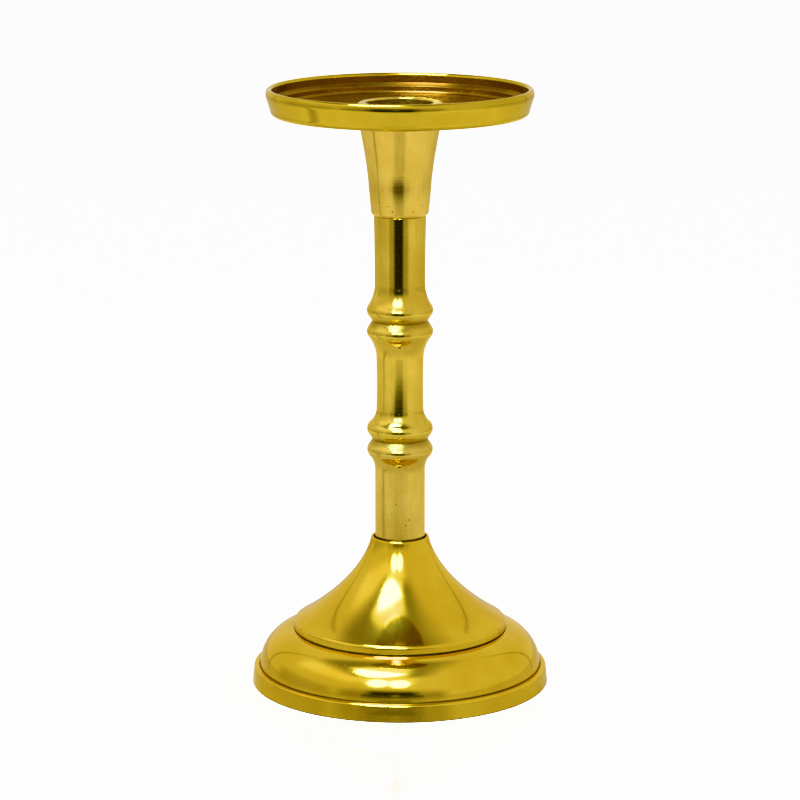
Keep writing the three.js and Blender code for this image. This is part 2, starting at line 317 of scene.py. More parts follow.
def sweep(start, start_heading, start_reach, end, end_heading, end_reach, steps):
    """A smooth run between two points, given the heading and reach of the curve at each end."""
    leave = start + heading(start_heading, start_reach)
    arrive = end - heading(end_heading, end_reach)
    points = []
    for i in range(steps + 1):
        t = i / steps
        s = 1 - t
        points.append(start * s**3 + leave * 3 * s * s * t + arrive * 3 * s * t * t + end * t**3)
    return points


def bend(start, corner, end, steps):
    """A smooth bend from one point towards a corner and on to another point."""
    shares = [i / steps for i in range(steps + 1)]
    return [start * (1 - t) ** 2 + corner * 2 * t * (1 - t) + end * t * t for t in shares]


def base_outline(base, rod_hole):
    band_top = base.foot_radius - base.foot_draft
    dome_foot = band_top - base.ledge_width
    crown = dome_foot - base.dome_round
    dome_centre = at(crown, base.foot_height)
    crown_height = dome_centre.z + base.dome_round
    bell_radius = crown + base.bell_overhang
    band_foot = crown_height + base.bell_undercut
    edge_centre = at(bell_radius - base.bell_edge_round, band_foot + base.bell_band)
    edge = arc(edge_centre, base.bell_edge_round, RIGHT, UP - base.bell_edge_slope, steps=14)
    lip_round = base.collar_wall / 2
    lip_centre = at(base.collar_bore + lip_round, base.height - lip_round)
    lip = arc(lip_centre, lip_round, UP - base.bell_neck_slope, LEFT, steps=12)
    bell_foot = edge[-1], LEFT - base.bell_edge_slope, base.bell_edge_reach
    bell_top = lip[0], LEFT - base.bell_neck_slope, base.bell_neck_reach
    bell = sweep(*bell_foot, *bell_top, steps=48)
    collar_floor = foot_of("stem_lower")
    web_underside = top_of("base_washer")
    hollow = []
    for before, after in zip(bell[-1:0:-1], bell[-2::-1]):
        along = (before - after).normalized()
        inner = (before + after) / 2 + at(-along.z, along.x) * base.wall
        if inner.z < web_underside:
            hollow.append(inner)
    return [
        at(crown + base.dome_round - base.wall, 0),
        at(base.foot_radius, 0),
        *rounded(at(band_top, base.foot_height), base.foot_edge, RIGHT, UP, steps=8),
        *arc(dome_centre, base.dome_round, RIGHT, UP, steps=32),
        at(bell_radius, band_foot),
        *edge,
        *bell[1:-1],
        *lip,
        at(base.collar_bore, collar_floor),
        at(rod_hole, collar_floor),
        at(rod_hole, web_underside),
        at(hollow[0].x, web_underside),
        *hollow,
        *arc(dome_centre, base.dome_round - base.wall, UP, RIGHT, steps=16),
    ]


def beaded_end(stem, shaft_radius, flare, lean=0):
    """From a joint over the bead to the shaft: a flank, a round bead and a hollow flare, all tangent."""
    bead_centre = stem.bead_radius - stem.bead_round
    slope = stem.flank_slope
    rise = (stem.bead_round - (stem.groove_radius - bead_centre) * math.sin(slope)) / math.cos(slope)
    bead = at(bead_centre, rise)
    step = shaft_radius - bead_centre
    flare_round = (step**2 + flare**2 - stem.bead_round**2) / (2 * (stem.bead_round - step))
    hollow = at(shaft_radius + flare_round, rise + flare)
    meet = math.atan2(hollow.z - bead.z, hollow.x - bead.x)
    return [
        at(stem.groove_radius, 0),
        *arc(bead, stem.bead_round, slope + DOWN, meet, steps=20),
        *arc(hollow, flare_round, LEFT + meet, LEFT + lean, steps=16)[1:],
    ]


def mirrored(points, joint):
    """The same end hanging below a joint instead of standing on it."""
    return [at(p.x, joint - p.z) for p in reversed(points)]


def raised(points, height):
    return [at(p.x, p.z + height) for p in points]


def spigot(stem, hardware, joint):
    """The register that stands on a piece's upper end."""
    end = joint + stem.spigot_length
    return [at(stem.spigot_radius, joint), at(stem.spigot_radius, end), at(hardware.rod_hole, end)]


def recess(stem, hardware, joint):
    """The hole for that register in the next piece."""
    fit = hardware.rod_hole - hardware.rod_radius
    end = joint + stem.spigot_length + fit
    bore = stem.spigot_radius + fit
    return [at(hardware.rod_hole, end), at(bore, end), at(bore, joint)]


def stem_outlines(stem, hardware):
    """The lower, middle and upper pieces, parted in the grooves between the beads."""
    lower, middle, upper = [foot_of("stem_" + place) for place in ("lower", "middle", "upper")]
    cup = foot_of("candle_cup")
    upper_bead = raised(beaded_end(stem, stem.shaft_radius, stem.upper_flare), upper)
    shaft_foot = at(stem.shaft_radius, upper_bead[-1].z)
    shaft_middle = at(stem.shaft_radius, (shaft_foot.z + cup) / 2)
    taper = bend(shaft_foot, shaft_middle, at(stem.neck_radius, cup), steps=12)[1:]
    foot_bead = raised(beaded_end(stem, stem.waist_radius, stem.middle_foot_flare, stem.waist_hollow), middle)
    top_bead = mirrored(beaded_end(stem, stem.waist_radius, stem.middle_top_flare, stem.waist_hollow), upper)
    reach = (top_bead[0].z - foot_bead[-1].z) / 3
    in_heading, out_heading = UP + stem.waist_hollow, UP - stem.waist_hollow
    waist = sweep(foot_bead[-1], in_heading, reach, top_bead[0], out_heading, reach, steps=24)
    return {
        "stem_lower": [
            at(hardware.rod_hole, lower),
            at(stem.shaft_radius, lower),
            *mirrored(beaded_end(stem, stem.shaft_radius, stem.lower_flare), middle),
            *spigot(stem, hardware, middle),
        ],
        "stem_middle": [
            *recess(stem, hardware, middle),
            *foot_bead,
            *waist[1:-1],
            *top_bead,
            *spigot(stem, hardware, upper),
        ],
        "stem_upper": [
            *recess(stem, hardware, upper),
            *upper_bead,
            *taper,
            *spigot(stem, hardware, cup),
        ],
    }


def cup_outline(settings):
    cup, hardware = settings.cup, settings.hardware
    foot = foot_of("candle_cup")
    seat = foot_of("dish")
    lip_foot = seat + settings.dish.floor
    lip_top = lip_foot + cup.mouth_height
    mouth = cup.socket_radius + cup.wall
    foot_round = rounded(at(cup.foot_radius, foot), cup.foot_round, DOWN, RIGHT, steps=8)
    shoulder = at(mouth + cup.shoulder_width, seat)
    waist = at(cup.waist_radius, foot + cup.waist_rise)
    reach = (waist.z - foot_round[-1].z) / 3
    skirt = sweep(foot_round[-1], UP - cup.lean, reach, waist, UP - cup.waist_lean, reach, steps=12)
    reach = (shoulder.z - waist.z) / 3
    flare = sweep(waist, UP - cup.waist_lean, reach, shoulder, UP - cup.flare, reach, steps=24)
    lip_radius = mouth + cup.mouth_width
    socket_floor = lip_top - cup.socket_depth
    pocket = hardware.nut_flats / 2 / FLATS_TO_CORNERS + cup.nut_room
    nut_seat = foot_of("cup_nut")
    return [
        *recess(settings.stem, hardware, foot),
        *foot_round,
        *skirt[1:],
        *flare[1:],
        at(mouth, seat),
        at(mouth, lip_foot),
        at(lip_radius, lip_foot),
        *rounded(at(lip_radius, lip_top), cup.mouth_round, RIGHT, UP, steps=10),
        *rounded(at(cup.socket_radius, lip_top), cup.mouth_ease, UP, LEFT, steps=6),
        at(cup.socket_floor_radius, socket_floor),
        at(pocket, socket_floor),
        at(pocket, nut_seat),
        at(hardware.rod_hole, nut_seat),
    ]


def dish_outline(dish):
    foot = foot_of("dish")
    height = top_of("dish") - foot
    shift = heading(dish.lip_turn, dish.lip_roll - dish.lip_round)
    lip_centre = at(dish.radius - dish.lip_roll + shift.x, height - dish.lip_round)
    roll = arc(lip_centre - shift, dish.lip_roll, dish.lip_tuck, dish.lip_turn, steps=12)
    lip = [*roll, *arc(lip_centre, dish.lip_round, dish.lip_turn, LEFT, steps=20)[1:]]
    foot_radius = dish.radius - dish.flare
    lean = (lip[0].x - foot_radius) / (lip[0].z - dish.corner)
    step_foot = dish.floor + dish.step_height
    step_top = step_foot + dish.step_width
    inside = foot_radius - dish.wall - lean * dish.corner
    floor_wall = inside + lean * step_foot - dish.step_width
    outline = [
        at(dish.hole_radius, 0),
        *rounded(at(foot_radius, 0), dish.corner, DOWN, RIGHT, steps=10),
        *lip,
        at(inside + lean * step_top, step_top),
        at(floor_wall, step_foot),
        *rounded(at(floor_wall, dish.floor), dish.floor_round, RIGHT, DOWN, steps=8),
        at(dish.hole_radius, dish.floor),
    ]
    return raised(outline, foot)


# Modelling


def eased(outline, radius):
    """The same closed outline with every sharp corner broken by a small round, as on any turned edge."""
    points = []
    for before, corner, after in zip([outline[-1], *outline[:-1]], outline, [*outline[1:], outline[0]]):
        arriving, leaving = corner - before, after - corner
        turn_angle = arriving.angle(leaving)
        if turn_angle < SHARP_CORNER:
            points.append(corner)
            continue
        room = EASE_SHARE * min(arriving.length, leaving.length)
        back = min(radius * math.tan(turn_angle / 2), room)
        start, end = corner - arriving.normalized() * back, corner + leaving.normalized() * back
        points += bend(start, corner, end, EASE_STEPS)
    return points


def held(outline):
    """Adds a point near each end of the long straight runs, so that a flat is shaded flat up to its edge."""
    points = []
    for here, there in zip(outline, [*outline[1:], outline[0]]):
        points.append(here)
        run = there - here
        if run.length > LONG_RUN:
            points += [here + run.normalized() * HOLD, there - run.normalized() * HOLD]
    return points


def start_clean():
    """Object mode with nothing selected, because an operator acts on all that is selected."""
    if bpy.context.object and bpy.context.object.mode != "OBJECT":
        bpy.ops.object.mode_set(mode="OBJECT")
    bpy.ops.object.select_all(action="DESELECT")


def select_only(piece):
    start_clean()
    piece.select_set(True)
    bpy.context.view_layer.objects.active = piece


def weld():
    bpy.ops.mesh.select_all(action="SELECT")
    bpy.ops.mesh.remove_doubles(threshold=WELD)


def close_up():
    """Turns every face outwards and leaves edit mode."""
    bpy.ops.mesh.select_all(action="SELECT")
    bpy.ops.mesh.normals_make_consistent(inside=False)
    bpy.ops.object.mode_set(mode="OBJECT")


def draw(name, points):
    """Starts a piece as a line: one vertex extruded from point to point. Leaves it in edit mode."""
    start_clean()
    bpy.ops.mesh.primitive_plane_add(size=MM)
    piece = bpy.context.object
    piece.name = piece.data.name = name
    bpy.ops.object.mode_set(mode="EDIT")
    bpy.ops.mesh.select_all(action="SELECT")
    bpy.ops.mesh.merge(type="CENTER")
    bpy.ops.transform.translate(value=points[0])
    for here, there in zip(points, points[1:]):
        bpy.ops.mesh.extrude_region_move(TRANSFORM_OT_translate={"value": there - here})
    weld()
    return piece


def turn(name, outline, facets, opening=0):
    """Turns a closed outline round the axis, all the way or up to an opening."""
    piece = draw(name, [*outline, outline[0]])
    bpy.ops.transform.rotate(value=opening / 2, orient_axis="Z", center_override=CENTRE)
    bpy.ops.mesh.spin(steps=facets, angle=2 * math.pi - opening, center=CENTRE, axis=AXIS)
    weld()
    if opening:
        bpy.ops.mesh.fill_holes(sides=0)
    close_up()
    return piece


def turned_piece(name, outline, settings):
    return turn(name, held(eased(outline, settings.ease)), settings.facets)


def finish_piece(piece, node, slot, settings, *recipes):
    """Smooth shading up to real corners, the metals, and the CAD node that the piece stands for."""
    select_only(piece)
    bpy.ops.object.shade_smooth_by_angle(angle=SHARP_CORNER)
    for recipe in recipes:
        piece.data.materials.append(metal(recipe, settings))
    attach(piece, BODY)
    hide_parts(node)


def faces_inwards(face):
    return face.normal.x * face.center.x + face.normal.y * face.center.y < 0


# Hardware


def cut(piece, tool, operation):
    """Trims or cuts a piece with a tool body, which is then deleted."""
    select_only(piece)
    modifier = piece.modifiers.new(operation, "BOOLEAN")
    modifier.operation = operation
    modifier.object = tool
    bpy.ops.object.modifier_apply(modifier=modifier.name)
    bpy.data.objects.remove(tool)


def threaded_rod(hardware):
    """Studding: one tooth of the thread carried up by a screw, then trimmed and bevelled at both ends."""
    foot, top = foot_of("tie_rod"), top_of("tie_rod")
    crest, pitch = hardware.rod_radius, hardware.thread_pitch
    root = crest - hardware.thread_depth
    start = foot - 2 * pitch
    flat = at(crest, pitch * 9 / 16), at(crest, pitch * 11 / 16)
    tooth = [at(root, 0), at(root, pitch / 8), *flat, at(root, pitch)]
    rod = draw("threaded_tie_rod", raised(tooth, start))
    bpy.ops.object.mode_set(mode="OBJECT")
    screw = rod.modifiers.new("thread", "SCREW")
    screw.screw_offset = pitch
    screw.iterations = math.ceil((top - start) / pitch) + 1
    screw.steps = screw.render_steps = hardware.thread_facets
    bpy.ops.object.modifier_apply(modifier=screw.name)
    bpy.ops.object.mode_set(mode="EDIT")
    weld()
    bevel = 1 - hardware.rod_chamfer / crest
    for height, below in ((foot, True), (top, False)):
        bpy.ops.mesh.select_all(action="SELECT")
        bpy.ops.mesh.bisect(plane_co=(0, 0, height), plane_no=AXIS, clear_inner=below, clear_outer=not below)
        bpy.ops.mesh.edge_face_add()
        bpy.ops.transform.resize(value=(bevel, bevel, 1), center_override=CENTRE)
    close_up()
    return rod


def hexagon_nut(node, hardware):
    """A hexagon bar end, coned off at both faces, bored and countersunk."""
    foot, top = foot_of(node), top_of(node)
    middle = (0, 0, (foot + top) / 2)
    half = hardware.nut_flats / 2
    corner = half / FLATS_TO_CORNERS
    start_clean()
    bpy.ops.mesh.primitive_cylinder_add(vertices=6, radius=corner, depth=top - foot, location=middle)
    nut = bpy.context.object
    nut.name = nut.data.name = "m6_" + node
    bpy.ops.object.transform_apply(location=True, rotation=True, scale=True)
    bpy.ops.object.mode_set(mode="EDIT")
    bpy.ops.mesh.select_all(action="SELECT")
    bpy.ops.transform.rotate(value=hardware.nut_turn, orient_axis="Z", center_override=CENTRE)
    bpy.ops.object.mode_set(mode="OBJECT")
    cone = [at(0, foot), at(half, foot), at(corner, foot + (corner - half) * math.tan(hardware.nut_chamfer))]
    cut(nut, turn("cone", cone + mirrored(cone, foot + top), CONE_FACETS), "INTERSECT")
    bore, sink = hardware.rod_radius + NUT_PLAY, hardware.rod_hole + COUNTERSINK
    outside = foot - OVERCUT
    hole = [at(0, outside), at(sink + OVERCUT, outside), at(bore, foot + sink - bore)]
    cut(nut, turn("drill", hole + mirrored(hole, foot + top), DRILL_FACETS), "DIFFERENCE")
    return nut


def punched_washer(node, hardware, opening):
    """A ring with rounded edges, split where it has an opening."""
    foot, top = foot_of(node), top_of(node)
    outer, inner = reach_of(node), hardware.rod_hole
    ring = [at(inner, foot), at(outer, foot), at(outer, top), at(inner, top)]
    return turn("plated_" + node, eased(ring, hardware.washer_edge), WASHER_FACETS, opening)


# Materials. A pattern that is too fine to show in the render is drawn coarser than the real one

GRAIN = 0.45 * MM  # of the metal, drawn coarser
SAND = 0.9 * MM  # of the mould, drawn coarser
CLOUDS = 18 * MM  # of tarnish under the lacquer
STAINS = 9 * MM  # on the raw casting
BLOTCHES = 1.6 * MM  # in the plating
DIRT_DULLS = 0.45  # roughness that dirt adds
UPRIGHT = 0.25  # of a turn, so that reflections are drawn out along the axis


def add_node(tree, kind, values=None):
    """Adds a shader node. A value is a setting, a number or colour for a socket, or what feeds it."""
    node = tree.nodes.new("ShaderNode" + kind)
    for key, value in (values or {}).items():
        if isinstance(key, str) and hasattr(node, key):
            setattr(node, key, value)
        elif hasattr(value, "bl_rna"):
            tree.links.new(getattr(value, "outputs", [value])[0], node.inputs[key])
        else:
            node.inputs[key].default_value = value
    return node


def new_material(name):
    """An empty material and the function that adds nodes to it."""
    material = bpy.data.materials.new(name)
    material.use_nodes = True
    material.node_tree.nodes.clear()
    return material, partial(add_node, material.node_tree)


def outline_place(add):
    """Object coordinates, the same folded into the outline's plane as (radius, 0, height), and the height."""
    place = add("TexCoord").outputs["Object"]
    flat = add("VectorMath", {"operation": "MULTIPLY", 0: place, 1: (1, 1, 0)})
    radius = add("VectorMath", {"operation": "LENGTH", 0: flat}).outputs["Value"]
    height = add("SeparateXYZ", {0: place}).outputs["Z"]
    return place, add("CombineXYZ", {"X": radius, "Z": height}), height


def brass(settings, tone, roughness, dulling, drawn_out, lacquer, haze, **marks):
    """Turned brass under clear lacquer, with the marks that making and use leave on it, and shade painted
    into its creases.
    """
    material, add = new_material("brass")
    finish = settings.finish
    tones = getattr(finish, tone), getattr(finish, tone + "_deep"), finish.tarnish_and_shade, finish.glancing
    bright, deep, residue_and_shade, glancing = [(*shade, 1) for shade in tones]
    place, folded, height = outline_place(add)

    # Slow ripple left by hand buffing, and the rings left by the turning tool
    wave, depth, stretch = marks["buffing"]
    strokes = add("Mapping", {"Vector": place, "Scale": (1, 1, 1 / stretch)})
    ripple = add("TexNoise", {"Vector": strokes, "Scale": 1 / wave, "Detail": 2, "Roughness": 0.4})
    slow = add("Bump", {"Height": ripple, "Strength": 1, "Distance": depth})
    wave, depth = marks["turning"]
    rings = add("TexNoise", {"Vector": folded, "Scale": 1 / wave, "Detail": 3, "Roughness": 0.6})
    fine = add("Bump", {"Height": rings, "Normal": slow, "Strength": 1, "Distance": depth})
    grain = add("TexNoise", {"Vector": place, "Scale": 1 / GRAIN, "Detail": 2})

    # Pits of the casting: small dark dots, more of them where the piece is soiled
    size, spacing, share = marks["pits"]
    cells = add("TexVoronoi", {"Vector": place, "Scale": 1 / spacing})
    for level, reach, more in marks.get("soiled", ()):
        above = add("Math", {"operation": "SUBTRACT", 0: height, 1: level})
        away = add("Math", {"operation": "ABSOLUTE", 0: above})
        extra = add("MapRange", {0: away, 1: reach, 2: 0, 4: more})
        share = add("Math", {"operation": "ADD", 0: share, 1: extra})
    chance = add("SeparateXYZ", {0: cells.outputs["Color"]})
    chosen = add("Math", {"operation": "LESS_THAN", 0: chance, 1: share})
    dot = add("MapRange", {0: cells.outputs["Distance"], 1: size / spacing, 2: 0.4 * size / spacing})
    pits_and_shade = add("Math", {"operation": "MULTIPLY", 0: chosen, 1: dot})

    # Shade painted into the creases and grooves as darker lines, with the polish residue that stays there
    for radius, level, width, depth in marks.get("creases", ()):
        away = add("VectorMath", {"operation": "DISTANCE", 0: folded, 1: (radius, 0, level)})
        line = add("MapRange", {0: away.outputs["Value"], 1: width, 2: 0.3 * width, 4: depth})
        pits_and_shade = add("Math", {"operation": "MAXIMUM", 0: pits_and_shade, 1: line})

    # Faint clouds of tarnish under the lacquer, and a deeper tone in the ripple's troughs and in the grain
    clouds = add("TexNoise", {"Vector": place, "Scale": 1 / CLOUDS, "Detail": 4, "Roughness": 0.55})
    clear = add("MapRange", {0: clouds, 1: 0.35, 2: 0.62})
    troughs = add("MapRange", {0: ripple, 1: 0.5, 2: 0.3, 4: 0.5})
    specks = add("MapRange", {0: grain, 1: 0.45, 2: 0.7, 4: 0.5})
    tone = deep
    # The last mix paints the pits and the crease shade in the dark tarnish colour
    for amount, shade in ((clear, bright), (troughs, deep), (specks, deep), (pits_and_shade, residue_and_shade)):
        tone = add("Mix", {"data_type": "RGBA", 0: amount, 6: tone, 7: shade}).outputs[2]

    # Duller on the rings, in the grain, in the pits and along the painted crease lines
    dull = add("MapRange", {0: rings, 1: 0.35, 2: 0.65, 3: roughness, 4: roughness + dulling})
    scuffs = add("MapRange", {0: grain, 1: 0.5, 2: 0.75})
    for amount, more in ((scuffs, dulling), (pits_and_shade, DIRT_DULLS)):
        dull = add("Math", {"operation": "MULTIPLY_ADD", 0: amount, 1: more, 2: dull})
    values = {
        "Base Color": tone,
        "Roughness": dull,
        "Normal": fine,
        "Metallic": 1,
        "Specular Tint": glancing,
        "Anisotropic": drawn_out,
        "Anisotropic Rotation": UPRIGHT,
        "Coat Weight": lacquer,
        "Coat Roughness": haze,
    }
    add("OutputMaterial", {"Surface": add("BsdfPrincipled", values)})
    return material


# Marks are buffing (wavelength, depth, stretch upwards), turning (wavelength, depth),
# pits (size, spacing, share), soiled places (height, reach, share of pits added)
# and creases (radius, height, width, depth of colour): darker lines painted there as shade, with the polish
# residue


def polished_lacquered_brass(settings):
    """Cast, turned, mirror-buffed and lacquered: sharp reflections that wander a little."""
    return brass(
        settings, "polished", roughness=0.085, dulling=0.02, drawn_out=0.3, lacquer=0.14, haze=0.04,
        buffing=(14 * MM, 0.025 * MM, 1), turning=(0.8 * MM, 0.0006 * MM), pits=(0.22 * MM, 3 * MM, 0.2),
        creases=shaded_crease_places(settings),
    )


def buffed_turned_brass(settings):
    """Fine-turned and buffed: nearly a mirror, with reflections drawn out along the stem."""
    return brass(
        settings, "buffed", roughness=0.075, dulling=0.03, drawn_out=0.5, lacquer=0.1, haze=0.05,
        buffing=(1.6 * MM, 0.006 * MM, 8), turning=(0.5 * MM, 0.001 * MM), pits=(0.2 * MM, 2 * MM, 0.08),
        creases=shaded_groove_places(settings),
    )


def satin_turned_brass(settings):
    """Fine-turned and left satin: the tool's rings blur reflections lengthwise, the ends are soiled, and
    shade is painted in where the stem goes into the collar.
    """
    collar = top_of("base_shell")
    return brass(
        settings, "satin", roughness=0.09, dulling=0.035, drawn_out=0.6, lacquer=0.15, haze=0.1,
        buffing=(1.6 * MM, 0.006 * MM, 8), turning=(0.5 * MM, 0.001 * MM), pits=(0.3 * MM, 1.4 * MM, 0.04),
        soiled=[(foot_of("candle_cup"), 9 * MM, 0.3), (collar, 12 * MM, 0.5)],
        # A darker line painted as shade round the stem at the collar, and the grooves' painted shade
        creases=[(settings.stem.shaft_radius, collar, 0.7 * MM, 1), *shaded_groove_places(settings)],
    )


def buffed_spun_brass(settings):
    """Spun and buffed: deeper in colour than the castings, with soft smudges under the lacquer."""
    return brass(
        settings, "spun", roughness=0.085, dulling=0.02, drawn_out=0.3, lacquer=0.14, haze=0.05,
        buffing=(8 * MM, 0.012 * MM, 1), turning=(0.8 * MM, 0.0008 * MM), pits=(0.2 * MM, 2 * MM, 0.08),
    )


def dulled_spun_brass(settings):
    """Spun and never buffed, browned by wax and handling: broad, soft reflections."""
    return brass(
        settings, "dulled", roughness=0.21, dulling=0.04, drawn_out=0.4, lacquer=0.05, haze=0.2,
        buffing=(9 * MM, 0.006 * MM, 1), turning=(0.7 * MM, 0.0006 * MM), pits=(0.2 * MM, 2 * MM, 0.06),
    )


def bare_metal(dark, light, patches, dullness, skin):
    """Metal without lacquer. Patches are (size, detail, low, high) and the skin is (size, detail, depth)."""
    material, add = new_material("bare_metal")
    place = add("TexCoord").outputs["Object"]
    size, detail, low, high = patches
    patch = add("TexNoise", {"Vector": place, "Scale": 1 / size, "Detail": detail})
    amount = add("MapRange", {0: patch, 1: low, 2: high})
    tone = add("Mix", {"data_type": "RGBA", 0: amount, 6: (*dark, 1), 7: (*light, 1)})
    dull = add("MapRange", {0: patch, 1: 0.3, 2: 0.7, 3: dullness[0], 4: dullness[1]})
    size, detail, depth = skin
    grain = add("TexNoise", {"Vector": place, "Scale": 1 / size, "Detail": detail})
    rough = add("Bump", {"Height": grain, "Strength": 1, "Distance": depth})
    values = {"Base Color": tone.outputs[2], "Roughness": dull, "Normal": rough, "Metallic": 1}
    add("OutputMaterial", {"Surface": add("BsdfPrincipled", values)})
    return material


def sand_cast_brass(settings):
    """As it left the sand: dull, brown in the hollows and grainy, without lacquer."""
    finish = settings.finish
    patches, skin = (STAINS, 4, 0.2, 0.6), (SAND, 4, 0.25 * MM)
    return bare_metal(finish.tarnish_and_shade, finish.cast, patches, (0.55, 0.42), skin)


def zinc_plated_steel(settings):
    """Bright zinc over rolled steel: pale blue-grey with a soft, blotchy sheen."""
    finish = settings.finish
    patches, skin = (BLOTCHES, 3, 0.3, 0.7), (BLOTCHES, 3, 0.01 * MM)
    return bare_metal(finish.zinc_dull, finish.zinc, patches, (0.42, 0.28), skin)


def metal(recipe, settings):
    """The material that a recipe makes, made once, named after it and shared by the pieces that need it."""
    material = bpy.data.materials.get(recipe.__name__) or recipe(settings)
    material.name = recipe.__name__
    return material


def shaded_groove_places(settings):
    """The grooves between the beads, painted a little browner than the rest as the shade and darker
    reflection inside a groove.
    """
    joints = foot_of("stem_middle"), foot_of("stem_upper")
    return [(settings.stem.groove_radius, joint, 2.4 * MM, 0.4) for joint in joints]


def shaded_crease_places(settings):
    """Where two turned forms meet: darker lines painted there as shade, with the polish left behind."""
    base = settings.base
    dome_foot = base.foot_radius - base.foot_draft - base.ledge_width
    crown_height = base.foot_height + base.dome_round
    bell_edge = dome_foot - base.dome_round + base.bell_overhang
    return [
        (dome_foot, base.foot_height, 0.5 * MM, 1),
        (bell_edge, crown_height, 0.4 * MM, 0.6),
        (base.collar_bore, base.height - 0.6 * MM, 0.75 * MM, 1),
        # Painted contact shade along the foot's bottom edge, at the table
        (base.foot_radius, 0, 0.5 * MM, 1),
    ]


# Stage: a white tent lit through its roof and front, open and dark where the camera stands
# Lamps are (place, width, depth, brightness, what they are kept off)
# and cards (place, width, depth, brightness, width of their soft edge)


def seen_at(azimuth, elevation, distance):
    """A place round the object: azimuth 0 is the camera's side and 90 the photo's right."""
    a, e = math.radians(azimuth), math.radians(elevation)
    way = Vector((math.sin(a) * math.cos(e), -math.cos(a) * math.cos(e), math.sin(e)))
    return AIM + way * distance


AIM = Vector((0, 0, 0.06))
ROOF = 0.88
FLOOR_CARDS = 0.01  # cards lower than this lie on the floor
FLOOR_SIZE = 14
FLOOR_FADE = 0.04
POOL = (0.05, -0.25, 0)
POOL_REACH = 0.95, 0.4  # from its middle: where the pool has ended, and where it is full
POOL_CLEAR = 0.12, 0.36  # from the axis: where the foot's shadow ends, and where the pool is full
HOLLOW_REACH = 0.044, 0.04  # the same for the light under the base
ACRYLIC_IOR = 1.49
SENSOR = 36
WHITE, MATT_WHITE, GLOSS_WHITE = [(grey, grey, grey, 1) for grey in (1, 0.8, 0.75)]
FLOOR_AND_TOP = "pale_floor", "flared_dish", "flared_cup"
LAMPS = {
    "front_lamp_left": (seen_at(-20.5, 37, 1.0), 0.26, 0.36, 36, FLOOR_AND_TOP),
    "front_lamp_right": (seen_at(-1, 37, 1.0), 0.26, 0.36, 36, FLOOR_AND_TOP),
    "roof_lamp": (Vector((-0.165, -0.23, ROOF)), 0.43, 0.52, 60, FLOOR_AND_TOP[:1]),
}
CARDS = {
    "dark_opening": (seen_at(-6, -1.5, 1.3), 1.25, 1.1, 0.01, 0.3),
    "dim_front": (seen_at(-7, 0, 1.4), 3.4, 1.5, 0.42, 0.7),
    "bright_front": (seen_at(-14, 43, 1.25), 1.1, 0.9, 1.35, 0.25),
    "bright_left": (seen_at(-75, 44, 1.1), 1.5, 0.75, 1.3, 0.35),
    "shaded_left": (seen_at(-85, 2, 1.15), 1.6, 0.75, 0.6, 0.35),
    # A dim strip on the floor: the painted shade of a fold, seen only in the metal
    "floor_fold_shade": (Vector((-0.42, -0.035, 0.003)), 0.62, 0.1, 0.6, 0.048),
    "grey_opening": (seen_at(-6, 1, 1.25), 1.2, 0.16, 0.08, 0.04),
    "opening_post": (seen_at(-3.5, 2, 1.2), 0.2, 0.2, 0.3, 0.07),
    "floor_shade": (Vector((-0.005, -0.35, 0.004)), 0.3, 0.15, 0.76, 0.075),
    "foot_shade": (Vector((-0.003, -0.065, 0.002)), 0.026, 0.028, 0.25, 0.006),
    "roof_glow": (Vector((-0.165, -0.26, ROOF + 0.01)), 0.58, 0.68, 2.0, 0.15),
    "dark_roof": (Vector((-0.13, -0.04, ROOF + 0.02)), 1.2, 1.27, 0.3, 0.35),
}
SEAMS = {
    "seam_left": (seen_at(-132, -5, 0.8), seen_at(-132, 48, 1.1)),
    "seam_right": (seen_at(132, -5, 0.8), seen_at(132, 48, 1.1)),
}


def facing(place):
    """Turns a flat thing to the object, or level if it hangs from the roof or lies on the floor."""
    if place.z >= ROOF or place.z < FLOOR_CARDS:
        return (0, 0, 0)
    return (place - AIM).to_track_quat("Z", "Y").to_euler()


def set_apart(name, material, shown=False):
    """Names and dresses the stage mesh that was just added. If it isn't shown, only the metal mirrors it."""
    piece = bpy.context.object
    piece.name = name
    piece.data.materials.append(material)
    piece.visible_camera = piece.visible_diffuse = piece.visible_shadow = shown


def white_surround(scene, stage):
    """The tent's walls light the metal; behind the object they are burnt out to white."""
    world = bpy.data.worlds.new("white_surround")
    world.use_nodes = True
    world.node_tree.nodes.clear()
    add = partial(add_node, world.node_tree)
    walls = add("Background", {"Color": WHITE, "Strength": stage.wall_light})
    backdrop = add("Background", {"Color": WHITE, "Strength": stage.backdrop_light})
    seen = add("LightPath").outputs["Is Camera Ray"]
    add("OutputWorld", {"Surface": add("MixShader", {0: seen, 1: walls, 2: backdrop})})
    scene.world = world


